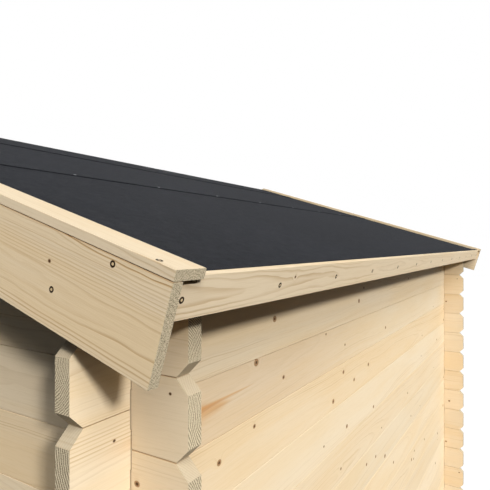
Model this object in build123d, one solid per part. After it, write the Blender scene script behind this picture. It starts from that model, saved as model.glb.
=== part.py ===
from build123d import *
from math import cos, radians, sin, tan
import os

# Log cabin with a low gable roof, in millimetres.
# X runs across the gables, Y from the front gable to the back one, Z is up.
# The origin is on the ground under the middle of the cabin.

# Wall logs
log_thickness = 28
log_cover = 114
log_overhang = 104
end_bevel = 21
edge_chamfer = 1
joint_depth = 2.5
notch_gap = 1.9
fit_gap = 0.3

# Cabin
outer_width = 2592
outer_depth = 2592
side_courses = 17
plate_rise = 4.5

# Roof carcass
roof_pitch = 17.05
deck_thickness = 16
deck_board_cover = 88
deck_groove = 3
eave_overhang = 160
purlin_width = 45
purlin_height = 95
purlin_courses = 18
lath_width = 28
lath_height = 30

# Roof edges
verge_clearance = 1
verge_thickness = 16
verge_height = 120
verge_drop = 0.6
trim_chamfer = 0.5
verge_projection = 8
batten_width = 51
batten_thickness = 12.7
fascia_thickness = 16
fascia_height = 56
fascia_rise = 6
fascia_notch_depth = 14

# Felt
felt_thickness = 2
lower_felt_show = 702
felt_lap = 80
ridge_felt_half_width = 238

# Door
door_courses = 15
door_opening_width = 850
jamb_face = 60
jamb_depth = 62
jamb_groove_depth = 20
head_height = 45
leaf_thickness = 18
leaf_board_cover = 95
leaf_groove = 3
leaf_clearance = 4
ledge_height = 95
ledge_thickness = 18
ledge_inset = 140
hinge_length = 330
hinge_height = 36
hinge_thickness = 3
hinge_edge = 4
knuckle_diameter = 12
handle_level = 880
handle_inset = 55
handle_plate_width = 38
handle_plate_height = 170
handle_plate_thickness = 3
lever_length = 120
lever_diameter = 14
lever_standoff = 38

# How far a cutting shape stands past what it cuts
spare = 1

# Derived sizes of the walls
half_width = outer_width / 2
half_depth = outer_depth / 2
half_course = log_cover / 2
notch_depth = log_cover / 4
eave_height = side_courses * log_cover + plate_rise

# Derived sizes of the roof: a run goes down the slope from the ridge, a rise stands square to it
pitch = radians(roof_pitch)
ridge_height = eave_height + half_width * tan(pitch)
deck_run = half_width / cos(pitch) + eave_overhang
fascia_run = deck_run + fit_gap
verge_run = fascia_run + fascia_thickness + verge_projection
deck_top = fit_gap + deck_thickness
felt_low = deck_top + fit_gap
felt_top = felt_low + felt_thickness
batten_low = felt_top + fit_gap
lap_low = felt_top + fit_gap
lap_top = lap_low + felt_thickness
verge_inner = half_depth + log_overhang + verge_clearance
verge_outer = verge_inner + verge_thickness
batten_inner = verge_outer - batten_width
deck_end = verge_inner - fit_gap

# Derived sizes of the door
door_half = door_opening_width / 2
door_bottom = half_course
door_top = door_bottom + door_courses * log_cover
jamb_outer = door_half + jamb_groove_depth
jamb_inner = jamb_outer - jamb_face
door_front = -half_depth - (jamb_depth - log_thickness) / 2
door_back = door_front + jamb_depth
leaf_half = jamb_inner - leaf_clearance
leaf_bottom = door_bottom + leaf_clearance
leaf_top = door_top - fit_gap - head_height - leaf_clearance
leaf_back = door_front + leaf_thickness


# A closed outline of X, Z points carried along Y
def carry_along_y(points, y_start, y_end):
    face = make_face(Plane.XZ * Polyline(*points, close=True))
    return Pos(0, y_start, 0) * extrude(face, amount=y_end - y_start, dir=(0, 1, 0))


# A closed outline of Y, Z points carried along X
def carry_along_x(points, x_start, x_end):
    face = make_face(Plane.YZ * Polyline(*points, close=True))
    return Pos(x_start, 0, 0) * extrude(face, amount=x_end - x_start, dir=(1, 0, 0))


# A closed outline of X, Y points carried up along Z
def carry_along_z(points, z_start, z_end):
    face = make_face(Plane.XY * Polyline(*points, close=True))
    return Pos(0, 0, z_start) * extrude(face, amount=z_end - z_start, dir=(0, 0, 1))


# A block between its low and high faces on each axis
def block(x_pair, y_pair, z_pair):
    pairs = (x_pair, y_pair, z_pair)
    middle = [sum(pair) / 2 for pair in pairs]
    size = [abs(pair[1] - pair[0]) for pair in pairs]
    return Pos(*middle) * Box(*size)


# Height of the roof boards' seat over a place on X
def roof_seat(x):
    return ridge_height - abs(x) * tan(pitch)


# A point of the slope on one side of the ridge, 1 for right and -1 for left
def slope_point(run, rise, side):
    x = run * cos(pitch) + rise * sin(pitch)
    z = ridge_height - run * sin(pitch) + rise * cos(pitch)
    return (side * x, z)


# A bar on a slope, with all four faces square to it
def slope_bar(runs, rises, y_pair, side):
    points = [slope_point(runs[0], rises[0], side), slope_point(runs[1], rises[0], side)]
    points += [slope_point(runs[1], rises[1], side), slope_point(runs[0], rises[1], side)]
    return carry_along_y(points, *y_pair)


# A layer on a slope that starts at the ridge with a plumb cut
def ridge_layer(run_end, rises, y_pair, side):
    low, high = rises
    cut = side * fit_gap / 2
    points = [(cut, roof_seat(cut) + low / cos(pitch)), slope_point(run_end, low, side)]
    points += [slope_point(run_end, high, side), (cut, roof_seat(cut) + high / cos(pitch))]
    return carry_along_y(points, *y_pair)


# A board of the roof's edge with its long corners taken off
def ease_long_edges(board, direction):
    long_edges = board.edges().filter_by(Axis((0, 0, 0), direction))
    return chamfer(long_edges, trim_chamfer)


# Notches that the two walls across a log cut into it, given half the distance between their faces
def crossings(half_size):
    outer = half_size + notch_gap
    inner = half_size - log_thickness - notch_gap
    return [(-outer, -inner), (inner, outer)]


# Side view of a log: free ends are bevelled, and each crossing wall has a notch below and above
def log_outline(ends, levels, notches, notch_levels, bevels):
    (start, end), (bottom, top) = ends, levels
    (start_below, start_above), (end_below, end_above) = bevels
    points = [(start, bottom + start_below), (start + start_below, bottom)]
    if notch_levels[0] > bottom:
        for near, far in notches:
            points += [(near, bottom), (near, notch_levels[0]), (far, notch_levels[0]), (far, bottom)]
    points += [(end - end_below, bottom), (end, bottom + end_below)]
    points += [(end, top - end_above), (end - end_above, top)]
    if notch_levels[1] < top:
        for near, far in reversed(notches):
            points += [(far, top), (far, notch_levels[1]), (near, notch_levels[1]), (near, top)]
    points += [(start + start_above, top), (start, top - start_above)]
    return [point for index, point in enumerate(points) if point != points[index - 1]]


# End view of a log: its lower corners are cut back further than its upper ones, as a shadow line
def log_section(near, far, bottom, near_top, far_top):
    cut = edge_chamfer
    climb = cut * (far_top - near_top) / (far - near)
    points = [(near + joint_depth, bottom), (far - joint_depth, bottom), (far, bottom + cut)]
    points += [(far, far_top - cut), (far - cut, far_top - climb), (near + cut, near_top + climb)]
    points += [(near, near_top - cut), (near, bottom + cut)]
    return points


# Heights where the crossing wall's logs begin and end inside a log
def notch_pair(bottom):
    return (bottom + notch_depth, bottom + log_cover - notch_depth - fit_gap)


# One log of a side wall: the top one is planed to the slope as a seat for the roof boards
def side_log(course, side):
    bottom = course * log_cover
    reach = half_depth + log_overhang
    faces = sorted((side * half_width, side * (half_width - log_thickness)))
    plate = course == side_courses - 1
    tops = [roof_seat(face) if plate else bottom + log_cover - fit_gap for face in faces]
    above = 0 if plate else end_bevel
    bevels = ((end_bevel, above), (end_bevel, above))
    levels = (bottom, max(tops))
    outline = log_outline((-reach, reach), levels, crossings(half_depth), notch_pair(bottom), bevels)
    section = log_section(faces[0], faces[1], bottom, tops[0], tops[1])
    return carry_along_x(outline, *faces) & carry_along_y(section, -reach, reach)


# Faces of a gable wall on Y, from low to high: 1 for the back wall and -1 for the front
def gable_faces(wall):
    return sorted((wall * half_depth, wall * (half_depth - log_thickness)))


# One log of a gable wall, from one place to another, cut under the roof where it reaches it
def gable_log(wall, bottom, top, start, end):
    faces = gable_faces(wall)
    reach = half_width + log_overhang
    low_end = 0 if bottom == 0 else end_bevel
    free = (low_end, 0 if top > roof_seat(reach) else end_bevel)
    bevels = (free if start == -reach else (0, 0), free if end == reach else (0, 0))
    course_bottom = top + fit_gap - log_cover
    notch_levels = notch_pair(course_bottom if bottom == 0 else bottom)
    notches = [pair for pair in crossings(half_width) if start < pair[0] and pair[1] < end]
    if bottom > roof_seat(half_width - log_thickness):
        notches = []
    outline = log_outline((start, end), (bottom, top), notches, notch_levels, bevels)
    section = log_section(faces[0], faces[1], bottom, top, top)
    log = carry_along_y(outline, *faces) & carry_along_x(section, start, end)
    if top > roof_seat(reach):
        log = log & under_roof(faces) - purlin_cuts(faces)
    return log


# The space under the roof boards, as thick as a gable wall
def under_roof(faces):
    reach = half_width + log_overhang + spare
    points = [(-reach, 0), (reach, 0), (reach, roof_seat(reach)), (0, ridge_height)]
    points += [(-reach, roof_seat(reach))]
    return carry_along_y(points, *faces)


# Middle of the purlin on a slope: its outer face stands where a gable joint meets the roof
def purlin_middle(side):
    joint = half_course + purlin_courses * log_cover
    return side * ((ridge_height - joint) / tan(pitch) - purlin_width / 2)


# Outline of a purlin under the roof, grown by a clearance on its sides and below
def purlin_outline(middle, clearance):
    left = middle - purlin_width / 2 - clearance
    right = middle + purlin_width / 2 + clearance
    bottom = roof_seat(abs(middle) + purlin_width / 2) - purlin_height - clearance
    points = [(left, bottom), (right, bottom), (right, roof_seat(right))]
    if left < 0 < right:
        points += [(0, ridge_height)]
    return points + [(left, roof_seat(left))]


purlin_middles = {"ridge_purlin": 0, "right_purlin": purlin_middle(1), "left_purlin": purlin_middle(-1)}


# The seats of the three purlins in a gable wall
def purlin_cuts(faces):
    cuts = None
    for middle in purlin_middles.values():
        cut = carry_along_y(purlin_outline(middle, fit_gap), *faces)
        cuts = cut if cuts is None else cuts + cut
    return cuts


# The bottom and top of each gable log that reaches the roof; the last one runs up to the ridge
def gable_levels():
    levels = []
    bottom = door_top + log_cover
    while bottom < ridge_height - half_course:
        top = bottom + log_cover
        if top > ridge_height - half_course:
            top = ridge_height + fit_gap
        levels.append((bottom, top - fit_gap))
        bottom = bottom + log_cover
    return levels


# Grooves between boards of one width, on a face that spans from start to end
def groove_places(start, end, cover):
    count = max(1, round((end - start) / cover))
    step = (end - start) / count
    return [start + step * index for index in range(1, count)]


# The boards on one slope, grooved together on their underside
def roof_boards(side):
    boards = ridge_layer(deck_run, (fit_gap, deck_top), (-deck_end, deck_end), 1)
    grooves = []
    for place in groove_places(-deck_end, deck_end, deck_board_cover):
        section = [(place - deck_groove, 0), (place + deck_groove, 0), (place, fit_gap + deck_groove)]
        groove = carry_along_x(section, -deck_thickness, deck_run + spare)
        grooves.append(Pos(0, 0, ridge_height) * Rot(0, roof_pitch, 0) * groove)
    boards = boards - grooves
    return boards if side > 0 else mirror(boards, about=Plane.YZ)


# The felt strip above the lower one: it laps that one between the battens, and lies flat under them
def upper_felt(side):
    lap_run = deck_run - lower_felt_show
    edge = lap_run - felt_lap - fit_gap
    strip = ridge_layer(edge, (felt_low, felt_top), (-deck_end, deck_end), side)
    inner = batten_inner - fit_gap
    lap = slope_bar((edge - felt_thickness, lap_run), (lap_low, lap_top), (-inner, inner), side)
    riser = slope_bar((edge - felt_thickness, edge), (felt_low, lap_top), (-inner, inner), side)
    return strip + (riser + lap)


# The felt that is folded over the ridge, between the battens
def ridge_felt():
    width = ridge_felt_half_width
    points = [slope_point(width, lap_low, -1), (0, ridge_height + lap_low / cos(pitch))]
    points += [slope_point(width, lap_low, 1), slope_point(width, lap_top, 1)]
    points += [(0, ridge_height + lap_top / cos(pitch)), slope_point(width, lap_top, -1)]
    inner = batten_inner - fit_gap
    return carry_along_y(points, -inner, inner)


# The board along the eaves, notched at both ends so that the battens run out over it
def fascia(side):
    runs = (fascia_run, fascia_run + fascia_thickness)
    top = felt_top + fascia_rise
    board = slope_bar(runs, (top - fascia_height, top), (-deck_end, deck_end), side)
    board = ease_long_edges(board, (0, 1, 0))
    cut_runs = (runs[0] - spare, runs[1] + spare)
    cut_rises = (top - fascia_notch_depth, top + spare)
    for wall in (front, back):
        cut_faces = sorted((wall * (batten_inner - fit_gap), wall * (deck_end + spare)))
        board = board - slope_bar(cut_runs, cut_rises, cut_faces, side)
    return board


# A board that follows the roof's edge from the ridge down, on the gable wall of one side
def verge_piece(rises, inner, outer, wall, side):
    board = ridge_layer(verge_run, rises, sorted((wall * inner, wall * outer)), side)
    return ease_long_edges(board, (side * cos(pitch), 0, -sin(pitch)))


# A jamb of the door frame, grooved to take the cut ends of the logs
def door_jamb(side):
    groove = log_thickness / 2 + fit_gap
    middle = -half_depth + log_thickness / 2
    log_end = door_half - fit_gap
    jamb_faces = sorted((side * jamb_inner, side * jamb_outer))
    levels = (door_bottom, door_top - fit_gap)
    jamb = block(jamb_faces, (door_front, door_back), levels)
    groove_faces = sorted((side * log_end, side * (jamb_outer + spare)))
    groove_levels = (levels[0] - spare, levels[1] + spare)
    return jamb - block(groove_faces, (middle - groove, middle + groove), groove_levels)


# The boards of the door, grooved on their front
def door_boards():
    leaf = block((-leaf_half, leaf_half), (door_front, leaf_back), (leaf_bottom, leaf_top))
    for place in groove_places(-leaf_half, leaf_half, leaf_board_cover):
        points = [(place - leaf_groove, door_front - fit_gap), (place + leaf_groove, door_front - fit_gap)]
        points += [(place, door_front + leaf_groove)]
        leaf = leaf - carry_along_z(points, leaf_bottom - spare, leaf_top + spare)
    return leaf


# Heights of the two outer ledges behind the door, which the hinges follow, and of the one between
def ledge_levels():
    low = leaf_bottom + ledge_inset
    high = leaf_top - ledge_inset - ledge_height
    return (low, (low + high) / 2, high)


# A flat bar across the back of the door boards
def door_ledge(level):
    faces = (leaf_back + fit_gap, leaf_back + fit_gap + ledge_thickness)
    inset = leaf_clearance + ledge_thickness
    return block((inset - leaf_half, leaf_half - inset), faces, (level, level + ledge_height))


# A strap hinge on the front of the door, with its knuckle over the gap beside the jamb
def door_hinge(level):
    middle = level + ledge_height / 2
    face = door_front - fit_gap
    heights = (middle - hinge_height / 2, middle + hinge_height / 2)
    knuckle_place = jamb_inner - leaf_clearance / 2
    strap_end = knuckle_place - hinge_length
    points = [(jamb_outer - hinge_edge, heights[0]), (jamb_outer - hinge_edge, heights[1])]
    points += [(knuckle_place, heights[1]), (strap_end, middle + hinge_height / 4)]
    points += [(strap_end, middle - hinge_height / 4), (knuckle_place, heights[0])]
    strap = carry_along_y(points, face - hinge_thickness, face)
    knuckle = Cylinder(knuckle_diameter / 2, hinge_height)
    return strap + Pos(knuckle_place, face - knuckle_diameter / 2, middle) * knuckle


# The door handle: a plate on the leaf, a round neck and a level bar
def door_handle():
    place = handle_inset - leaf_half
    level = leaf_bottom + handle_level
    face = door_front - fit_gap
    plate_faces = (face - handle_plate_thickness, face)
    half_plate = handle_plate_width / 2
    heights = (level - handle_plate_height / 2, level + handle_plate_height / 2)
    handle = block((place - half_plate, place + half_plate), plate_faces, heights)
    neck_length = lever_standoff - handle_plate_thickness / 2
    neck_middle = face - handle_plate_thickness / 2 - neck_length / 2
    neck = Rot(90, 0, 0) * Cylinder(lever_diameter / 2, neck_length)
    handle = handle + Pos(place, neck_middle, level) * neck
    lever = Rot(0, 90, 0) * Cylinder(lever_diameter / 2, lever_length)
    start = place - lever_diameter / 2
    return handle + Pos(start + lever_length / 2, face - lever_standoff, level) * lever


nodes = {}
front, back = -1, 1
full_reach = half_width + log_overhang

# Side walls
third = side_courses // 3
for name, side in (("right", 1), ("left", -1)):
    common = side_log(0, side)
    logs = [Pos(0, 0, course * log_cover) * common for course in range(side_courses - 1)]
    nodes[name + "_wall_lower_logs"] = logs[:third]
    nodes[name + "_wall_middle_logs"] = logs[third:2 * third]
    nodes[name + "_wall_upper_logs"] = logs[2 * third:]
    nodes[name + "_wall_plate_log"] = [side_log(side_courses - 1, side)]

# Gable walls: a half log at the foot sets their joints half a log off those of the side walls
for name, wall in (("front", front), ("back", back)):
    nodes[name + "_half_log"] = [gable_log(wall, 0, half_course - fit_gap, -full_reach, full_reach)]
    common_levels = (door_bottom, door_bottom + log_cover - fit_gap)
    common = gable_log(wall, *common_levels, -full_reach, full_reach)
    lintel_rise = door_courses * log_cover
    rises = [course * log_cover for course in range(door_courses)]
    if wall == back:
        logs = [Pos(0, 0, rise) * common for rise in rises]
        third = door_courses // 3
        nodes["back_wall_lower_logs"] = logs[:third]
        nodes["back_wall_middle_logs"] = logs[third:2 * third]
        nodes["back_wall_upper_logs"] = logs[2 * third:] + [Pos(0, 0, lintel_rise) * common]
    else:
        left_log = gable_log(wall, *common_levels, -full_reach, -door_half)
        right_log = gable_log(wall, *common_levels, door_half, full_reach)
        nodes["front_wall_left_logs"] = [Pos(0, 0, rise) * left_log for rise in rises]
        nodes["front_wall_right_logs"] = [Pos(0, 0, rise) * right_log for rise in rises]
        nodes["front_lintel_log"] = [Pos(0, 0, lintel_rise) * common]
    gable = [gable_log(wall, bottom, top, -full_reach, full_reach) for bottom, top in gable_levels()]
    nodes[name + "_gable_logs"] = gable

# Roof carcass
for name, middle in purlin_middles.items():
    nodes[name] = [carry_along_y(purlin_outline(middle, 0), -deck_end, deck_end)]
for name, side in (("right", 1), ("left", -1)):
    nodes[name + "_roof_boards"] = [roof_boards(side)]
    lath = slope_bar((deck_run - lath_width, deck_run), (-lath_height, 0), (-deck_end, deck_end), side)
    nodes[name + "_eaves_lath"] = [lath]

# Roof edges and felt
for name, side in (("right", 1), ("left", -1)):
    nodes[name + "_fascia"] = [fascia(side)]
    lower_runs = (deck_run - lower_felt_show - felt_lap, deck_run)
    nodes[name + "_lower_felt"] = [slope_bar(lower_runs, (felt_low, felt_top), (-deck_end, deck_end), side)]
    nodes[name + "_upper_felt"] = [upper_felt(side)]
    for end_name, wall in (("front", front), ("back", back)):
        rises = (felt_top - verge_drop - verge_height, felt_top - verge_drop)
        verge = verge_piece(rises, verge_inner, verge_outer, wall, side)
        nodes[end_name + "_" + name + "_verge_board"] = [verge]
        rises = (batten_low, batten_low + batten_thickness)
        batten = verge_piece(rises, batten_inner, verge_outer, wall, side)
        nodes[end_name + "_" + name + "_verge_batten"] = [batten]
nodes["ridge_felt"] = [ridge_felt()]

# Door, closed in its frame
head_faces = (door_top - fit_gap - head_height, door_top - fit_gap)
door_head = block((fit_gap - jamb_inner, jamb_inner - fit_gap), (door_front, door_back), head_faces)
nodes["door_frame"] = [door_jamb(1), door_jamb(-1), door_head]
nodes["door_boards"] = [door_boards()]
nodes["door_ledges"] = [door_ledge(level) for level in ledge_levels()]
nodes["door_hinges"] = [door_hinge(level) for level in ledge_levels()[::2]]
nodes["door_handle"] = [door_handle()]

os.makedirs("parts", exist_ok=True)
for name, shapes in nodes.items():
    solids = [solid for shape in shapes for solid in shape.solids()]
    export_step(Compound(children=solids), "parts/" + name + ".step")
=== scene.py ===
import math
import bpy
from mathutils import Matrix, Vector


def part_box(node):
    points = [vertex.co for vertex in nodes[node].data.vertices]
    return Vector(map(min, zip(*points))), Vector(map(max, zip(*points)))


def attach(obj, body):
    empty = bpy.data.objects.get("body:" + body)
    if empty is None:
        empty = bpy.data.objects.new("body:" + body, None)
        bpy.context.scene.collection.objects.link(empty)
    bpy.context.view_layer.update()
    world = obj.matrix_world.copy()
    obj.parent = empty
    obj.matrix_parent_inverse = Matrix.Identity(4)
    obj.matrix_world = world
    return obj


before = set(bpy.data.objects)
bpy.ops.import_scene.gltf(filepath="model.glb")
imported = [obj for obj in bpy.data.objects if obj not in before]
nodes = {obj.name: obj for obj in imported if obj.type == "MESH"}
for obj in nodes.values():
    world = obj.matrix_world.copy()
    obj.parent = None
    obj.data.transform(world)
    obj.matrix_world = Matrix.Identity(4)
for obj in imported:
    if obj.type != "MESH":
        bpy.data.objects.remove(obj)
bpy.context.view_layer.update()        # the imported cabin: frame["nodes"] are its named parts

from types import SimpleNamespace

import bpy
from mathutils import Quaternion, Vector

mm = 0.001


# Measures read from the frame
def cornersOf(name):
    return [vertex.co for vertex in nodes[name].data.vertices]


def topLine(name):  # highest and outermost corner of a bar that lies on the right slope
    points = cornersOf(name)
    return max(points, key=lambda p: p.z), max(points, key=lambda p: p.x)


highest, outermost = topLine("right_lower_felt")
pitch = math.atan2(highest.z - outermost.z, outermost.x - highest.x)
cosPitch, sinPitch = math.cos(pitch), math.sin(pitch)
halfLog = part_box("front_half_log")[1].z
logsBesideDoor = 15.5  # the front wall's half log and 15 whole ones above it
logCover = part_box("front_wall_right_logs")[1].z / logsBesideDoor
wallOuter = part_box("right_wall_plate_log")[1].x
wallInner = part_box("right_wall_plate_log")[0].x
wallMiddle = (wallOuter + wallInner) / 2


# On a slope, run goes down it and rise stands square to it, both from the origin
def slopePlace(run, rise, y, side=1):
    return Vector((side * (run * cosPitch + rise * sinPitch), y, rise * cosPitch - run * sinPitch))


def runAndRise(point):  # of a point on the right slope
    return point.x * cosPitch - point.z * sinPitch, point.x * sinPitch + point.z * cosPitch


def slopeEnd(name):  # run and rise of the outermost corner of a bar on the right slope
    return runAndRise(topLine(name)[1])


def slopeSpan(name):  # least and greatest run, then the greatest rise, of a bar on the right slope
    runs, rises = zip(*[runAndRise(point) for point in cornersOf(name)])
    return min(runs), max(runs), max(rises)


print("frame read: roof pitch", round(math.degrees(pitch), 2), "degrees,",
      "one log", round(logCover / mm, 1), "mm high")


# Shader maths as Python expressions
class Wire:
    def __init__(self, tree, socket):
        self.tree, self.socket = tree, socket

    def node(self, kind, settings=None, inputs=None, output=0):
        return addNode(self.tree, kind, settings, inputs, output)

    def calc(self, operation, *others):
        return self.node("ShaderNodeMath", {"operation": operation}, dict(enumerate((self, *others))))

    def out(self, name):
        return Wire(self.tree, self.socket.node.outputs[name])

    def __add__(self, other):
        return self.calc("ADD", other)

    def __sub__(self, other):
        return self.calc("SUBTRACT", other)

    def __rsub__(self, other):
        return self.node("ShaderNodeMath", {"operation": "SUBTRACT"}, {0: other, 1: self})

    def __mul__(self, other):
        return self.calc("MULTIPLY", other)

    def __truediv__(self, other):
        return self.calc("DIVIDE", other)

    def __abs__(self):
        return self.calc("ABSOLUTE")

    __radd__ = __add__
    __rmul__ = __mul__

    def floor(self):
        return self.calc("FLOOR")

    def sign(self):
        return self.calc("SIGN")

    def squared(self):
        return self * self

    def root(self):
        return self.calc("SQRT")

    def bell(self):  # 1 at 0, and falls away smoothly on both sides
        return (self * self * -1).calc("EXPONENT")

    def most(self, other):
        return self.calc("MAXIMUM", other)

    def ramp(self, low, high, smooth=True):  # 0 at low, 1 at high
        settings = {"interpolation_type": "SMOOTHSTEP" if smooth else "LINEAR", "clamp": True}
        span = {"Value": self, "From Min": low, "From Max": high}
        return self.node("ShaderNodeMapRange", settings, span)

    def blend(self, first, second):  # colour first where this is 0, second where it is 1
        colours = {0: self, 6: first, 7: second}
        return self.node("ShaderNodeMix", {"data_type": "RGBA"}, colours, 2)

    def tint(self, colour, amount):  # multiplies this colour by another, by an amount
        settings = {"data_type": "RGBA", "blend_type": "MULTIPLY"}
        return self.node("ShaderNodeMix", settings, {0: amount, 6: self, 7: colour}, 2)


def addNode(tree, kind, settings=None, inputs=None, output=0):
    made = tree.nodes.new(kind)
    for name, value in (settings or {}).items():
        setattr(made, name, value)
    for name, value in (inputs or {}).items():
        if isinstance(value, Wire):
            tree.links.new(value.socket, made.inputs[name])
        else:
            made.inputs[name].default_value = value
    return Wire(tree, made.outputs[output])


def vector(tree, x, y, z):
    return addNode(tree, "ShaderNodeCombineXYZ", None, {0: x, 1: y, 2: z})


def parts(wire, names=("X", "Y", "Z")):
    split = wire.node("ShaderNodeSeparateXYZ", None, {0: wire})
    return [split.out(name) for name in names]


def randoms(tree, x, y, z):  # three numbers from 0 to 1 that stay the same for a cell
    inputs = {"Vector": vector(tree, x, y, z)}
    return parts(addNode(tree, "ShaderNodeTexWhiteNoise", {"noise_dimensions": "3D"}, inputs, 1))


def noise(tree, x, y, z, detail=2.0, roughness=0.5):
    inputs = {"Vector": vector(tree, x, y, z), "Scale": 1.0, "Detail": detail, "Roughness": roughness}
    return addNode(tree, "ShaderNodeTexNoise", {"noise_dimensions": "3D"}, inputs)


def cells(tree, coords, scale):
    inputs = {"Vector": coords, "Scale": scale}
    return addNode(tree, "ShaderNodeTexVoronoi", {"feature": "F1"}, inputs)


def objectCoords(tree):
    return addNode(tree, "ShaderNodeTexCoord", None, None, 3)


def newFinish(name, shader):  # a material with a Principled shader, whose fixed values are set on it
    material = bpy.data.materials.new(name)
    material.use_nodes = True
    tree = material.node_tree
    tree.nodes.clear()
    end = tree.nodes.new("ShaderNodeOutputMaterial")
    principled = tree.nodes.new("ShaderNodeBsdfPrincipled")
    tree.links.new(principled.outputs[0], end.inputs[0])
    for socket, value in shader.items():
        principled.inputs[socket].default_value = value
    return material, tree, principled


def feed(tree, principled, **wires):
    for socket, wire in wires.items():
        tree.links.new(wire.socket, principled.inputs[socket.replace("_", " ")])


def relief(tree, height, depth, strength=1.0):
    settings = {"Strength": strength, "Distance": depth, "Height": height}
    return addNode(tree, "ShaderNodeBump", None, settings)


# Wood: rings are a field round a pith that lies beside or in each board, cut by the board's faces.
# Lengths in the wood finishes are in millimetres.
spruce = {
    "pale": (0.700, 0.568, 0.392, 1),
    "warm": (0.690, 0.528, 0.325, 1),
    "lateTint": (0.62, 0.50, 0.36, 1),
    "resinTint": (0.90, 0.70, 0.50, 1),
    "fibreTint": (0.95, 0.94, 0.91, 1),
    # dark joint lines, and painted shade in the gaps at the corner and under the batten
    "jointAndGapShade": (0.62, 0.54, 0.46, 1),
    # darkens a log near the front corner: painted shade, with some duller tone of its own
    "dullShadeTint": (0.93, 0.885, 0.85, 1),
    # bevels get a darker colour than the square ends so that they don't show lit: painted shade
    "bevelShade": (0.400, 0.330, 0.228, 1),
    "endPale": (0.635, 0.530, 0.360, 1),
    "endDark": (0.175, 0.135, 0.080, 1),
    "knot": (0.280, 0.140, 0.055, 1),
    "knotHeart": (0.050, 0.024, 0.011, 1),
    "roughness": 0.60,
    "gloss": 0.08,
    "knotSpread": 88,  # how far apart across a board its random knots can lie
    "sawMarks": 60,  # in a metre
}


def boardAxes(kind, x, y, z):  # along the grain, across the face, through the board, and which board
    run = abs(x) * cosPitch - z * sinPitch
    rise = abs(x) * sinPitch + z * cosPitch
    corner = x.sign() + y.sign() * 2
    axes = {
        "sideLogs": (y, z, abs(x) - wallMiddle, x.sign()),
        "gableLogs": (x, z, abs(y) - wallMiddle, y.sign()),
        "verge": (run, rise, abs(y), corner),
        "batten": (run, abs(y), rise, corner),
        "roofBoards": (run, y, rise, x.sign()),
        "eaves": (y, rise, run, x.sign()),
        "purlin": (y, z, x, (x * 3 + 0.5).floor()),
        "upright": (z, x, y, 0),
        "level": (x, z, y, (z * 2).floor()),
    }
    return axes[kind]


def boardNormal(kind, nx, ny, nz):  # how much a face looks along the grain
    slope = abs(abs(nx) * cosPitch - nz * sinPitch)
    looks = {
        "sideLogs": abs(ny), "eaves": abs(ny), "purlin": abs(ny),
        "gableLogs": abs(nx), "level": abs(nx), "upright": abs(nz),
        "verge": slope, "batten": slope, "roofBoards": slope,
    }
    return looks[kind]


def knotDistance(alongGap, acrossGap):  # knots are a little longer along the grain
    return (alongGap.squared() * 0.7 + acrossGap.squared()).root()


# At most one knot in each cell along a board: how far it is, then its radius
def knotField(tree, along, across, key, cell, size, chance, seed):
    place = along / cell + key * 0.37
    index = place.floor()
    shift, height, luck = randoms(tree, index, key, seed)
    scale = randoms(tree, index, key, seed + 0.5)[0]
    alongGap = (place - index - (shift * 0.7 + 0.15)) * cell
    acrossGap = across - (height - 0.5) * spruce["knotSpread"]
    radius = scale * (size[1] - size[0]) + size[0]
    absent = luck.ramp(chance, chance + 0.001) * 1000
    return knotDistance(alongGap, acrossGap) + absent, radius


def resinStreak(along, across, streak):  # a flame of resin that narrows along the grain to its tip
    start, middle, length, width = streak
    step = (along - start) / length
    gap = (across - middle) / ((1 - step).most(0.05) * width / 2)
    return gap.bell() * (1 - step.ramp(0.5, 1.0)) * step.ramp(-1.2, -0.2)


def dullShadePart(along, across, dullShade):  # darker from the front corner and paler along the log: painted shade where the eave and verge board keep light off, on a log that is also a little duller
    first, length, middle, half = dullShade
    inside = (along - first).ramp(0, 20) * (1 - ((along - first) / length).ramp(0.3, 1.0))
    return inside * (1 - (abs(across - middle) - half).ramp(-0.5, 0.5))


def lineBand(tree, along, across, band):  # a group of parallel lines
    place, reach, middle, half, step, amount = band
    inside = 1 - (abs(along - place) - reach).ramp(-20, 20)
    inside = inside * (1 - (abs(across - middle) - half).ramp(-2, 2))
    count = across / step
    line = count.floor()
    phase = count - line
    weight = randoms(tree, line, middle, 6.3)[0] * 0.7 + 0.3
    return inside * weight * amount * phase.ramp(0.45, 0.80) * (1 - phase.ramp(0.88, 1.0))


def boardPlace(tree, board):  # where a point lies on its board, and the numbers drawn for that board
    spot = SimpleNamespace()
    coords = objectCoords(tree)
    spot.x, spot.y, spot.z = parts(coords)
    *axes, which = boardAxes(board["kind"], spot.x, spot.y, spot.z)
    spot.along, spot.across, spot.through = [axis * 1000 for axis in axes]
    facing = boardNormal(board["kind"], *parts(coords.out("Normal")))
    spot.end = facing.ramp(0.35, 0.92)  # ends show pale end grain, bevels a darker colour that is painted shade
    spot.sawn = facing.ramp(0.70, 0.97)  # square ends show rings too
    start, spot.cover = board["start"] / mm, board["cover"] / mm
    index = ((spot.across - start) / spot.cover).floor()
    spot.key = index * 1.7 + which * 7.3 + board["seed"]
    spot.local = spot.across - start - (index + 0.5) * spot.cover
    spot.turn, spot.deep, spot.tone = randoms(tree, spot.key, board["seed"], 0.3)
    spot.spacing, *_, spot.warmth = randoms(tree, spot.key, board["seed"], 4.7)
    return spot


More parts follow.
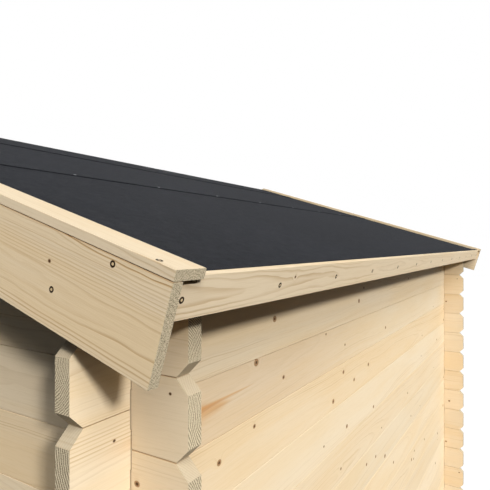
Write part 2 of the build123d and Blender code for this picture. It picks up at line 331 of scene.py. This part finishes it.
def ringField(tree, board, spot):  # distance from the pith, which sways along the board
    slow = noise(tree, spot.along * 0.0012, spot.key * 3.1, board["seed"] * 1.3, 1.0)
    slowA, slowB = parts(slow.out("Color"))[:2]
    fine = noise(tree, spot.along * 0.008, spot.local * 0.03, spot.key, 2.0)
    spot.fineA, fineB, spot.fineC = parts(fine.out("Color"))
    shift, shiftRange, depth, depthRange = board["pith"]
    pithAcross = (spot.turn - 0.5) * shiftRange + shift + (slowA - 0.5) * board["sway"]
    pithThrough = (spot.deep - 0.5).sign() * (abs(spot.deep - 0.5) * depthRange + depth)
    pithThrough = pithThrough + (slowB - 0.5) * board["sway"]
    spot.acrossGap = spot.local - pithAcross + (spot.fineA - 0.5) * board["wobble"]
    throughGap = spot.through - board["middle"] / mm - pithThrough + (fineB - 0.5) * 5
    return (spot.acrossGap.squared() + throughGap.squared()).root() + spot.along * board["taper"]


def bendRoundKnots(tree, board, spot, radius):  # the rings' radius, the knots and their dark hearts
    knots = []
    for cell, size, chance, seed in board["knots"]:
        row = (cell, size, chance, seed + board["seed"])
        knots.append(knotField(tree, spot.along, spot.local, spot.key, *row))
    for along, across, size in board.get("placed", ()):
        knots.append((knotDistance(spot.along - along, spot.across - across), size))
    knotMask = heartMask = 0
    for distance, size in knots:
        radius = radius + (distance / (size * 2.2)).bell() * size * 1.6
        gap = distance - size
        knotMask = (1 - (gap + (spot.fineC - 0.5) * 1.5).ramp(-0.8, 0.8)).most(knotMask)
        heartMask = (1 - (distance - size * 0.2).ramp(0.6, 2.2)).most(heartMask)
    return radius, knotMask, heartMask


def lateWood(tree, board, spot, radius):  # the rings' dark part, its depth, and its lines on a face
    rings = radius / (spot.spacing * 1.6 + board["ring"])
    ring = rings.floor()
    phase = rings - ring
    late = phase.ramp(0.45, 0.90) * (1 - phase.ramp(0.94, 1.0))
    weight = randoms(tree, ring, spot.key, 9.1)[0]
    plain = noise(tree, spot.along * 0.0030, spot.across * 0.018, spot.key, 1.0).ramp(0.38, 0.62)
    mixed = weight * weight * weight * (1 - board["even"]) + (weight * 0.5 + 0.5) * board["even"]
    depth = late * mixed * (plain * 0.65 + 0.35)
    slant = (abs(spot.acrossGap) / radius).ramp(0.0, 0.35)  # rings that lie flat in a face look pale
    lines = depth * board["grain"] * (slant * 0.7 + 0.3)
    for band in board.get("bands", ()):
        lines = lines.most(lineBand(tree, spot.along, spot.across + (spot.fineA - 0.5) * 5, band))
    return late, depth, lines


def faceColour(tree, board, spot, radius, lines, fibre):
    zone = noise(tree, radius * 0.055, spot.key, board["seed"], 1.0)
    streak = noise(tree, spot.along * 0.0040, spot.across * 0.10, spot.through * 0.10, 2.0, 0.55)
    blotch = noise(tree, spot.along * 0.0024, spot.across * 0.010, spot.key, 1.0)
    warm = (blotch - 0.5) * 1.3 + spot.tone * 0.4 + (streak - 0.5) * 0.6 + (zone - 0.5) * 1.2 + 0.25
    colour = warm.ramp(0, 1).blend(spruce["pale"], spruce["warm"])
    colour = colour.tint(spruce["lateTint"], lines)
    colour = colour.tint(spruce["fibreTint"], (fibre - 0.5).ramp(-0.05, 0.25))
    for flame in board.get("flames", ()):
        resin = resinStreak(spot.along, spot.across + (streak - 0.5) * 9, flame)
        colour = colour.tint(spruce["resinTint"], resin)
    # painted shade near the front corner, on a log that is also duller
    for dullShade in board.get("dullShade", ()):
        colour = colour.tint(spruce["dullShadeTint"], dullShadePart(spot.along, spot.across, dullShade))
    lift = (spot.warmth - 0.5) * 0.08 + board["shade"]
    hue = spot.turn - 0.5
    return colour.tint(vector(tree, lift, lift * (hue * 0.03 + 1), lift * (hue * 0.07 + 1)), 1.0)


def jointAndGapShadeMask(board, spot):  # thin dark lines where boards meet; along the corner and under the batten they are painted shade in the gaps
    joint = 1 - (spot.cover / 2 - abs(spot.local)).ramp(0.3, 0.9)
    if "corner" in board:  # fine in the wall, darker past the corner, and one more along the corner, painted shade in its gap
        past = abs(spot.along) - board["corner"]
        joint = (joint * (past.ramp(-4, 0) * 0.75 + 0.25)).most(1 - abs(past).ramp(0.3, 0.9))
    if "rim" in board:
        # a dark line along the verge board's top edge: painted shade in the gap under the batten
        joint = 1 - abs(spot.across - board["rim"]).ramp(0.7, 1.3)
    return joint


def woodFinish(name, board):
    fixed = {"IOR": 1.45, "Specular IOR Level": spruce["gloss"]}
    material, tree, principled = newFinish(name, fixed)
    spot = boardPlace(tree, board)
    radius = ringField(tree, board, spot)
    radius, knotMask, heartMask = bendRoundKnots(tree, board, spot, radius)
    x, y, z = spot.x, spot.y, spot.z
    fineness, sawMarks = board["fineness"], spruce["sawMarks"]
    grit = noise(tree, x * fineness, y * fineness, z * fineness, 1.0)
    saw = noise(tree, x * sawMarks, y * sawMarks, z * sawMarks, 1.0)
    radius = radius + spot.sawn * ((grit - 0.5) * 1.2 + (saw - 0.5) * board["endWave"])
    late, depth, lines = lateWood(tree, board, spot, radius)
    fibre = noise(tree, spot.along * 0.022, spot.across * 0.75, spot.through * 0.75, 2.0, 0.6)

    colour = faceColour(tree, board, spot, radius, lines, fibre)
    colour = (knotMask * 0.85).blend(colour, spruce["knot"])
    colour = (heartMask * 0.9).blend(colour, spruce["knotHeart"])
    # dark joint lines, with painted shade in the corner gap and under the batten
    colour = colour.tint(spruce["jointAndGapShade"], jointAndGapShadeMask(board, spot))
    cut = late.ramp(0.0, 0.7) * board["endRings"] + (grit.ramp(0.30, 0.70) - 0.35) * board["endGrit"]
    cut = cut * (spot.sawn * 0.7 + 0.3)
    # bevels take the darker colour that paints shade on them, square ends the pale one
    endPale = spot.sawn.blend(spruce["bevelShade"], spruce["endPale"])
    colour = spot.end.blend(colour, cut.ramp(0.0, 1.0, False).blend(endPale, spruce["endDark"]))

    rough = (fibre - 0.5) * 0.12 + spruce["roughness"] + spot.end * 0.2
    height = (1 - spot.end) * (fibre * 0.30 - depth * 0.25) - spot.sawn * cut
    if "bevel" in board:  # the top edge is planed off: place of the edge, width
        edge, width = board["bevel"]
        height = height - (width - edge + spot.across).most(0) * 2
    bump = relief(tree, height, 0.5 * mm)
    feed(tree, principled, Base_Color=colour, Roughness=rough, Normal=bump)
    return material


def wholeCover(start, about):  # width of each board where whole ones of about a width fill a face
    return -2 * start / round(-2 * start / about)


# Random knots: length of a cell along the board, least and greatest radius, chance, seed
logKnots = ((420, (2.8, 5.6), 0.60, 1.0), (1300, (5.0, 8.0), 0.35, 2.0))
trimKnots = ((700, (2.0, 4.0), 0.5, 3.0),)

# Places that the wood finishes are drawn from, read from the frame
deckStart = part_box("right_roof_boards")[0].y
deckCover = wholeCover(deckStart, 88 * mm)
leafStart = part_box("door_boards")[0].x
leafCover = wholeCover(leafStart, 95 * mm)
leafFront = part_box("door_boards")[0].y
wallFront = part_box("front_wall_right_logs")[0].y
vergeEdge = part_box("front_right_verge_board")[0].y
vergeEnd, vergeTop = slopeEnd("front_right_verge_board")
fasciaFace, fasciaTop = slopeEnd("right_fascia")
battenTop = slopeEnd("front_right_verge_batten")[1]
deckTop = slopeEnd("right_roof_boards")[1]

# Knots that the photo shows: along the wall from the front gable's face, height, radius
wallKnots = (
    (431, 1782, 7.0), (352, 1703, 7.5), (724, 1702, 3.4), (777, 1505, 6.5), (999, 1765, 7.0),
    (1096, 1541, 6.0), (1154, 1382, 5.5), (887, 1400, 6.5), (1297, 1157, 7.5), (1077, 1211, 5.5),
    (219, 1549, 6.0), (1725, 980, 7.0), (2292, 744, 7.0), (-31, 1676, 2.1),
)
# The same on the ends of the gable logs (from the middle), on the verge board and on the fascia
cornerKnots = ((1369, 1744, 2.1), (1308, 1607, 4.4))
vergeKnots = ((vergeEnd / mm - 194, vergeTop / mm - 40, 2.6),)
fasciaKnots = ((deckStart / mm + 289, fasciaTop / mm - 21, 2.4),)
# Flames of resin: start along the wall, height, length, width
wallFlames = ((wallFront / mm + 160, 1652, 120, 30), (wallFront / mm + 160, 1662, 210, 11))
# Log darkened near the front corner, partly its own duller tone and partly painted shade: start,
# length, height of its middle, half its height
dullShadedLog = (wallFront / mm, 1300, 14.5 * logCover / mm, logCover / mm / 2)
# Parallel lines: place and reach along, middle and half width across, step, amount
cornerBand = (wallFront / mm - 60, 70, 1682, 19, 5.4, 0.8)
vergeBands = (
    (vergeEnd / mm - 150, 160, vergeTop / mm - 30, 17, 4.3, 0.5),
    (vergeEnd / mm - 400, 500, vergeTop / mm - 110, 6, 5.0, 0.8),
)

# Boards: "start" and "cover" divide a face into boards, and "middle" is the face's place.
# "pith" is its mean place and range across a board, then its least depth and range.
single = {
    "start": -5, "cover": 10, "middle": 0, "shade": 1.0, "knots": trimKnots,
    "pith": (0, 60, 20, 120), "sway": 30, "ring": 2.4, "wobble": 5, "taper": 0.008,
    "grain": 0.9, "even": 0.25, "endGrit": 0.95, "endRings": 0.25, "endWave": 3, "fineness": 950,
}
logs = {
    **single, "cover": logCover, "knots": logKnots,
    "pith": (0, 70, 35, 120), "sway": 45, "ring": 3.0, "wobble": 6, "taper": 0.010,
    "grain": 0.55, "even": 0.05, "endGrit": 0.5, "endRings": 0.78, "endWave": 5, "fineness": 620,
}
woods = {
    "sideLogWood": {
        **logs, "kind": "sideLogs", "start": 0, "seed": 2.0, "corner": -wallFront / mm,
        "flames": wallFlames, "bands": (cornerBand,), "dullShade": (dullShadedLog,),
        "placed": [(wallFront / mm + along, height, size) for along, height, size in wallKnots],
    },
    "gableLogWood": {
        **logs, "kind": "gableLogs", "start": halfLog, "seed": 5.0, "corner": wallOuter / mm,
        "placed": cornerKnots,
    },
    "vergeWood": {
        **single, "kind": "verge", "middle": -vergeEdge, "seed": 8.0, "placed": vergeKnots,
        "pith": (vergeTop / mm - 68, 12, 26, 12), "ring": 4.4, "wobble": 18, "grain": 1.2,
        "even": 0.12, "bands": vergeBands, "rim": vergeTop / mm,
    },
    "battenWood": {
        **single, "kind": "batten", "middle": battenTop, "seed": 11.0, "shade": 0.95,
        "pith": (-vergeEdge / mm - 30, 40, 24, 60),
    },
    "eavesWood": {
        **single, "kind": "eaves", "middle": fasciaFace, "seed": 14.0, "shade": 0.96,
        "pith": (fasciaTop / mm - 26, 12, 22, 16), "sway": 26, "ring": 3.6, "wobble": 18,
        "grain": 0.95, "even": 0.35, "placed": fasciaKnots, "bevel": (fasciaTop / mm, 4.0),
    },
    # the roof boards are darker than the other wood (shade 0.80) so that the eave's underside reads
    # darker: painted shade
    "roofBoardWood": {
        **single, "kind": "roofBoards", "start": deckStart, "cover": deckCover, "middle": deckTop,
        "seed": 17.0, "shade": 0.80, "knots": logKnots,
    },
    "purlinWood": {**single, "kind": "purlin", "seed": 20.0},
    "uprightWood": {
        **single, "kind": "upright", "start": leafStart, "cover": leafCover, "middle": leafFront,
        "seed": 23.0, "knots": logKnots,
    },
    "levelWood": {**single, "kind": "level", "middle": leafFront, "seed": 26.0},
}
finishes = {name: woodFinish(name, board) for name, board in woods.items()}
print("wood finishes made:", len(finishes))


# Roofing felt: fine mineral grit on bitumen
felt = {
    "dark": (0.007, 0.0075, 0.009, 1),
    "light": (0.026, 0.027, 0.031, 1),
    "roughness": 0.95,
    "gloss": 0.08,
    "grains": 900,  # in a metre, as the next two
    "mottle": 55,
    "clouds": 3,
}


def feltFinish():
    material, tree, principled = newFinish("roofingFelt", {"Specular IOR Level": felt["gloss"]})
    coords = objectCoords(tree)
    x, y, z = parts(coords)
    grit = cells(tree, coords, felt["grains"])
    grain = parts(grit.out("Color"))[0]
    cloud = noise(tree, x * felt["clouds"], y * felt["clouds"], z * felt["clouds"], 3.0)
    mottle = noise(tree, x * felt["mottle"], y * felt["mottle"], z * felt["mottle"], 3.0, 0.7)
    shade = grain * 0.4 + (cloud - 0.5) * 0.8 + (mottle - 0.5) * 1.2 + 0.25
    colour = shade.ramp(0, 1, False).blend(felt["dark"], felt["light"])
    rough = felt["roughness"] + (cloud - 0.5) * 0.2
    bump = relief(tree, 1 - grit.ramp(0.0, 0.7), 0.4 * mm, 0.6)
    feed(tree, principled, Base_Color=colour, Roughness=rough, Normal=bump)
    return material


# Zinc coated steel of the hinges and the handle
zinc = {
    "dark": (0.46, 0.47, 0.48, 1),
    "light": (0.66, 0.67, 0.68, 1),
    "roughness": 0.38,
    "flakes": 160,  # in a metre, as the next
    "smears": 40,
}


def zincFinish():
    material, tree, principled = newFinish("dullZinc", {"Metallic": 1.0})
    coords = objectCoords(tree)
    x, y, z = parts(coords)
    shade = parts(cells(tree, coords, zinc["flakes"]).out("Color"))[0]
    smear = noise(tree, x * zinc["smears"], y * zinc["smears"], z * zinc["smears"], 3.0)
    colour = (shade * 0.6 + smear * 0.4).blend(zinc["dark"], zinc["light"])
    rough = zinc["roughness"] + shade * 0.12 + (smear - 0.5) * 0.2
    feed(tree, principled, Base_Color=colour, Roughness=rough, Normal=relief(tree, smear, 0.1 * mm))
    return material


finishes["roofingFelt"] = feltFinish()
finishes["dullZinc"] = zincFinish()


def finishFor(name):
    rules = (
        ("felt", "roofingFelt"), ("hinges", "dullZinc"), ("handle", "dullZinc"),
        ("verge_board", "vergeWood"), ("verge_batten", "battenWood"), ("fascia", "eavesWood"),
        ("lath", "eavesWood"), ("roof_boards", "roofBoardWood"), ("purlin", "purlinWood"),
        ("door_boards", "uprightWood"), ("door_frame", "uprightWood"), ("door_ledges", "levelWood"),
        ("right_wall", "sideLogWood"), ("left_wall", "sideLogWood"),
    )
    if name.startswith(("front_wall", "back_wall")):
        return "gableLogWood"
    return next((finish for word, finish in rules if word in name), "gableLogWood")


for name, part in nodes.items():
    part.data.materials.clear()
    part.data.materials.append(finishes[finishFor(name)])
print("finishes given to", len(nodes), "parts")


# Screw and nail finishes: metallic, gloss, dark and light colour, roughness
heads = {
    # the dark ring round each screw head: crushed wood, and painted shade in the recess
    "holeRim": (0.0, 0.1, (0.014, 0.008, 0.004, 1), (0.040, 0.022, 0.010, 1), 0.7),
    "agedZinc": (1.0, 0.5, (0.12, 0.125, 0.13, 1), (0.26, 0.27, 0.28, 1), 0.5),
    "yellowZinc": (1.0, 0.5, (0.42, 0.31, 0.17, 1), (0.62, 0.49, 0.30, 1), 0.42),
}


def headFinish(name, metallic, gloss, dark, light, roughness):
    fixed = {"Metallic": metallic, "Specular IOR Level": gloss}
    material, tree, principled = newFinish(name, fixed)
    x, y, z = parts(objectCoords(tree))
    stain = noise(tree, x * 400, y * 400, z * 400, 2.0)
    colour = stain.ramp(0.3, 0.7).blend(dark, light)
    rough = roughness + (stain - 0.5) * 0.3
    feed(tree, principled, Base_Color=colour, Roughness=rough, Normal=relief(tree, stain, 0.1 * mm))
    return material


for name, values in heads.items():
    finishes[name] = headFinish(name, *values)


def pickFaces(piece, test):  # selects the faces that pass a test, and leaves the piece in edit mode
    bpy.ops.object.mode_set(mode="OBJECT")
    for face in piece.data.polygons:
        face.select = test(face)
    bpy.ops.object.mode_set(mode="EDIT")


def roundHead(name, radius, height, sides):  # a flat disc round the origin, with its top face selected
    bpy.ops.object.select_all(action="DESELECT")
    bpy.ops.mesh.primitive_cylinder_add(vertices=sides, radius=radius, depth=height)
    piece = bpy.context.object
    piece.name = name
    bpy.ops.object.mode_set(mode="EDIT")
    bpy.ops.mesh.select_mode(type="FACE")
    pickFaces(piece, lambda face: face.normal.z > 0.9)
    return piece


# Countersunk screw: a dark rim round its hole, partly crushed wood and partly painted shade of the
# recess, a low crowned head and the recess for the driver
screw = {
    "radius": 4.2 * mm,
    "height": 0.4 * mm,
    "rim": 2.3 * mm,
    "crown": 0.15 * mm,
    "taper": 0.88,
    "drive": 1.0 * mm,
    "sides": 18,
}


def makeScrew():
    head = roundHead("screwHead", screw["radius"], screw["height"], screw["sides"])
    bpy.ops.mesh.inset(thickness=screw["rim"])
    bpy.ops.mesh.extrude_region_move(TRANSFORM_OT_translate={"value": (0, 0, screw["crown"])})
    bpy.ops.transform.resize(value=(screw["taper"], screw["taper"], 1))
    bpy.ops.mesh.inset(thickness=screw["drive"])
    bpy.ops.mesh.extrude_region_move(TRANSFORM_OT_translate={"value": (0, 0, -2 * screw["crown"])})
    bpy.ops.object.mode_set(mode="OBJECT")
    for finish in ("holeRim", "yellowZinc"):
        head.data.materials.append(finishes[finish])
    core = (screw["radius"] - screw["rim"]) * 1.02
    for face in head.data.polygons:
        face.material_index = int(face.center.xy.length < core)
    return head


# Clout nail: a thin flat head with its edge taken off
nail = {"radius": 4.0 * mm, "height": 1.2 * mm, "edge": 0.5 * mm, "sides": 14}


def makeNail():
    head = roundHead("nailHead", nail["radius"], nail["height"], nail["sides"])
    bpy.ops.mesh.inset(thickness=nail["edge"])
    bpy.ops.transform.translate(value=(0, 0, nail["edge"] / 2))
    bpy.ops.object.mode_set(mode="OBJECT")
    head.data.materials.append(finishes["agedZinc"])
    return head


# Where the screws and nails go, in millimetres along and below the edges of the boards
fixing = {
    "vergeEdge": (88, 9, 300),  # from the lower end, below the top edge, spacing up the slope
    "vergeBody": (180, 72),  # the one that goes into the plate log
    "purlinDrop": 60,
    "batten": (31, 7.7, 400),  # from the lower end, in from the outer face, spacing
    "fascia": (14.7, 31, 228),  # in from the verge board, below the top edge, spacing
    "lap": (107, 8, 316),  # in from the verge board, above the edge of the lap, spacing
    "ridgeGap": 60,
    "turn": 2.4,  # radians from one head to the next
}


def placeCopies(name, model, spots):  # a copy at each place, facing outward, all joined as one piece
    copies = []
    for number, (place, outward) in enumerate(spots):
        copy = model.copy()
        copy.data = model.data.copy()
        bpy.context.scene.collection.objects.link(copy)
        copy.location = place
        facing = Vector(outward).to_track_quat("Z", "Y")
        turn = Quaternion((0, 0, 1), number * fixing["turn"])
        copy.rotation_euler = (facing @ turn).to_euler()
        copies.append(copy)
    bpy.context.view_layer.update()
    bpy.ops.object.select_all(action="DESELECT")
    for copy in copies:
        copy.select_set(True)
    bpy.context.view_layer.objects.active = copies[0]
    bpy.ops.object.join()
    piece = bpy.context.object
    piece.name = piece.data.name = name
    bpy.ops.object.transform_apply(location=True, rotation=True, scale=True)
    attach(piece, "root")
    return piece


def countUp(first, step, last):  # places from first to last, step apart, in millimetres
    return [first + step * number for number in range(int((last - first) // step) + 1)]


def slopeRun(x, rise):  # run of the place on the right slope over x
    return (x - rise * sinPitch) / cosPitch


def vergeScrews(side, wall):
    first, drop, step = fixing["vergeEdge"]
    length = (vergeEnd - slopeRun(0, vergeTop)) / mm
    spots = [(place, drop) for place in countUp(first, step, length - fixing["ridgeGap"])]
    spots.append(fixing["vergeBody"])
    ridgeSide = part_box("ridge_purlin")[1].x / 2
    slopeMiddle = (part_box("right_purlin")[0].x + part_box("right_purlin")[1].x) / 2
    for x in (ridgeSide, slopeMiddle):
        spots.append(((vergeEnd - slopeRun(x, vergeTop)) / mm, fixing["purlinDrop"]))
    y = -wall * vergeEdge
    return [(slopePlace(vergeEnd - place * mm, vergeTop - below * mm, y, side), (0, wall, 0))
            for place, below in spots]


def battenScrews(side, wall):
    first, inset, step = fixing["batten"]
    end, top = slopeEnd("front_right_verge_batten")
    length = (end - slopeRun(0, top)) / mm
    y = wall * (-vergeEdge - inset * mm)
    return [(slopePlace(end - place * mm, top, y, side), slopePlace(0, 1, 0, side))
            for place in countUp(first, step, length - fixing["ridgeGap"])]


def alongRoof(first, step):  # y of places along the roof boards, from their front edge
    return [deckStart + place * mm for place in countUp(first, step, -2 * deckStart / mm - first)]


def fasciaScrews(side):
    first, drop, step = fixing["fascia"]
    level, outward = fasciaTop - drop * mm, slopePlace(1, 0, 0, side)
    return [(slopePlace(fasciaFace, level, y, side), outward) for y in alongRoof(first, step)]


def lapNails(side):
    first, above, step = fixing["lap"]
    edge, top = slopeEnd("right_upper_felt")
    run, outward = edge - above * mm, slopePlace(0, 1, 0, side)
    return [(slopePlace(run, top, y, side), outward) for y in alongRoof(first, step)]


# Screws of the door's fittings
fittings = {
    "plate": 3 * mm,  # thickness in front of which the heads lie
    "strap": (22, 122, 222),  # places along a hinge's strap, in millimetres
    "leaf": 14 * mm,  # in from the frame's side of the hinge
    "spread": 9 * mm,
    "hingeHalf": 18 * mm,
    "handleHalf": 19 * mm,
    "handleEnd": 12 * mm,
}


def doorScrews():
    low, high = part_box("door_hinges")
    front = high.y - fittings["plate"]
    places = []
    for level in (low.z + fittings["hingeHalf"], high.z - fittings["hingeHalf"]):
        places += [(low.x + place * mm, front, level) for place in fittings["strap"]]
        for gap in (-fittings["spread"], fittings["spread"]):
            places.append((high.x - fittings["leaf"], front, level + gap))
    low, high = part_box("door_handle")
    for level in (low.z + fittings["handleEnd"], high.z - fittings["handleEnd"]):
        places.append((low.x + fittings["handleHalf"], front, level))
    return [(Vector(place), (0, -1, 0)) for place in places]


screwModel, nailModel = makeScrew(), makeNail()
for side, sideName in ((1, "right"), (-1, "left")):
    for wall, wallName in ((-1, "front"), (1, "back")):
        corner = wallName + "_" + sideName
        placeCopies(corner + "_verge_screws", screwModel, vergeScrews(side, wall))
        placeCopies(corner + "_batten_screws", screwModel, battenScrews(side, wall))
    placeCopies(sideName + "_fascia_screws", screwModel, fasciaScrews(side))
    placeCopies(sideName + "_felt_nails", nailModel, lapNails(side))
placeCopies("door_screws", screwModel, doorScrews())
for model in (screwModel, nailModel):
    bpy.data.objects.remove(model)
print("screws and nails placed")


# Felt turned up over the fascia: a foot on the felt, a rise, and the part that shows on top
turnUp = {
    "foot": 25 * mm,
    "thickness": 0.8 * mm,
    "gap": 0.05 * mm,
    "bare": 0.6 * mm,  # what stays bare at the fascia's front edge
    "edge": 0.2 * mm,
    "short": 28 * mm,  # it stops short of one batten, as in the photo
}


def pickEdges(piece, test):  # selects the edges whose two ends pass a test
    bpy.ops.object.mode_set(mode="OBJECT")
    points = piece.data.vertices
    for point in points:
        point.select = test(point.co)
    for edge in piece.data.edges:
        edge.select = all(test(points[number].co) for number in edge.vertices)
    for face in piece.data.polygons:
        face.select = False
    bpy.ops.object.mode_set(mode="EDIT")


def makeTurnUp():
    inner, outer, top = slopeSpan("right_fascia")
    feltTop = slopeSpan("right_lower_felt")[2]
    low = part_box("front_right_verge_batten")[1].y + turnUp["gap"]
    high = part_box("back_right_verge_batten")[0].y - turnUp["short"]
    half = turnUp["thickness"] / 2 + turnUp["gap"]
    riser = inner - half
    reach = outer - turnUp["bare"] - riser
    bpy.ops.object.select_all(action="DESELECT")
    bpy.ops.mesh.primitive_plane_add(size=1)
    strip = bpy.context.object
    bpy.ops.object.mode_set(mode="EDIT")
    bpy.ops.mesh.select_mode(type="EDGE")
    bpy.ops.mesh.select_all(action="SELECT")
    place = (riser - turnUp["foot"] / 2, (low + high) / 2, feltTop + half)
    bpy.ops.transform.resize(value=(turnUp["foot"], high - low, 1))
    bpy.ops.transform.translate(value=place)
    pickEdges(strip, lambda point: point.x > riser - mm)
    for move in ((0, 0, top - feltTop), (reach, 0, 0)):
        bpy.ops.mesh.extrude_region_move(TRANSFORM_OT_translate={"value": move})
    bpy.ops.object.mode_set(mode="OBJECT")
    solid = {"thickness": turnUp["thickness"], "offset": 0, "use_even_offset": True}
    for kind, settings in (("SOLIDIFY", solid), ("BEVEL", {"width": turnUp["edge"]})):
        bpy.ops.object.modifier_add(type=kind)
        modifier = strip.modifiers[-1]
        for name, value in settings.items():
            setattr(modifier, name, value)
        bpy.ops.object.modifier_apply(modifier=modifier.name)
    bpy.ops.object.mode_set(mode="EDIT")
    bpy.ops.mesh.select_all(action="SELECT")
    bpy.ops.mesh.normals_make_consistent(inside=False)
    bpy.ops.object.mode_set(mode="OBJECT")
    strip.data.materials.append(finishes["roofingFelt"])
    return strip


turnUpModel = makeTurnUp()
for turned, sideName in ((0, "right"), (math.pi, "left")):
    strip = turnUpModel.copy()
    strip.data = turnUpModel.data.copy()
    strip.name = strip.data.name = sideName + "_eaves_felt"
    bpy.context.scene.collection.objects.link(strip)
    strip.rotation_euler = (0, pitch, turned)
    bpy.ops.object.select_all(action="DESELECT")
    strip.select_set(True)
    bpy.context.view_layer.objects.active = strip
    bpy.ops.object.transform_apply(location=True, rotation=True, scale=True)
    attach(strip, "root")
bpy.data.objects.remove(turnUpModel)
print("felt turned up over the fascias")


# Camera at the photo's place
view = {"place": (1.7924, -1.7873, 1.9438), "turn": 31.85, "lens": 35.08, "sensor": 36}
camera = bpy.data.objects.new("cornerView", bpy.data.cameras.new("cornerView"))
bpy.context.scene.collection.objects.link(camera)
camera.location = view["place"]
camera.rotation_euler = (math.pi / 2, 0, math.radians(view["turn"]))
camera.data.lens = view["lens"]
camera.data.sensor_width = view["sensor"]
camera.data.clip_start = 0.01
bpy.context.scene.camera = camera


# Light: a sharp and a soft sun from the right and front, a low one from behind, and sky from above
def addSun(name, strength, direction, width):
    lamp = bpy.data.lights.new(name, "SUN")
    lamp.energy = strength * math.pi
    lamp.angle = math.radians(width)
    holder = bpy.data.objects.new(name, lamp)
    holder.rotation_euler = Vector(direction).to_track_quat("Z", "Y").to_euler()
    bpy.context.scene.collection.objects.link(holder)


light = {
    "key": (0.97, (0.81, -0.47, 0.385), 6),  # strength, where it comes from, width in degrees
    "soft": (0.88, (0.56, -0.44, 0.70), 36),
    "rear": (1.25, (-0.66, 0.75, 0.06), 20),
    "sky": 0.12,
    "skyTint": (0.75, 1.0, 1.3, 1),
    "skyRise": (-0.05, 0.45),  # how high it starts and where it is full
}
white = (1, 1, 1, 1)
for name in ("key", "soft", "rear"):
    addSun(name + "Sun", *light[name])


def directRays(tree):  # 1 for what the camera sees, also in gloss and through glass
    rays = addNode(tree, "ShaderNodeLightPath")
    gloss, clear = rays.out("Is Glossy Ray"), rays.out("Is Transmission Ray")
    return rays.out("Is Camera Ray").most(gloss).most(clear)


world = bpy.data.worlds.new("studioSky")
bpy.context.scene.world = world
world.use_nodes = True
sky = world.node_tree
sky.nodes.clear()
up = parts(addNode(sky, "ShaderNodeTexCoord", None, None, 0))[2]
ambient = up.ramp(*light["skyRise"]) * light["sky"]
seen = directRays(sky)
brightness = ambient + (1 - ambient) * seen
skyInputs = {"Color": seen.blend(light["skyTint"], white), "Strength": brightness}
background = addNode(sky, "ShaderNodeBackground", None, skyInputs)
skyEnd = sky.nodes.new("ShaderNodeOutputWorld")
sky.links.new(background.socket, skyEnd.inputs[0])

# Pale floor that stays white around the object and keeps its shadow
ground = {"size": 60.0, "bounce": (0.04, 0.04, 0.04, 1), "glow": 0.82}
bpy.ops.object.select_all(action="DESELECT")
bpy.ops.mesh.primitive_plane_add(size=ground["size"], location=(0, 0, 0))
floor = bpy.context.object
floor.name = "paleFloor"
floorMaterial = bpy.data.materials.new("paleFloor")
floorMaterial.use_nodes = True
tree = floorMaterial.node_tree
tree.nodes.clear()
seen = directRays(tree)
matt = addNode(tree, "ShaderNodeBsdfDiffuse", None, {"Color": seen.blend(ground["bounce"], white)})
glow = addNode(tree, "ShaderNodeEmission", None, {"Color": white, "Strength": 1.0})
floorMix = addNode(tree, "ShaderNodeMixShader", None, {0: seen * ground["glow"], 1: matt, 2: glow})
floorEnd = tree.nodes.new("ShaderNodeOutputMaterial")
tree.links.new(floorMix.socket, floorEnd.inputs[0])
floor.data.materials.append(floorMaterial)

bpy.context.scene.view_settings.view_transform = "Standard"
print("camera, light and floor set")
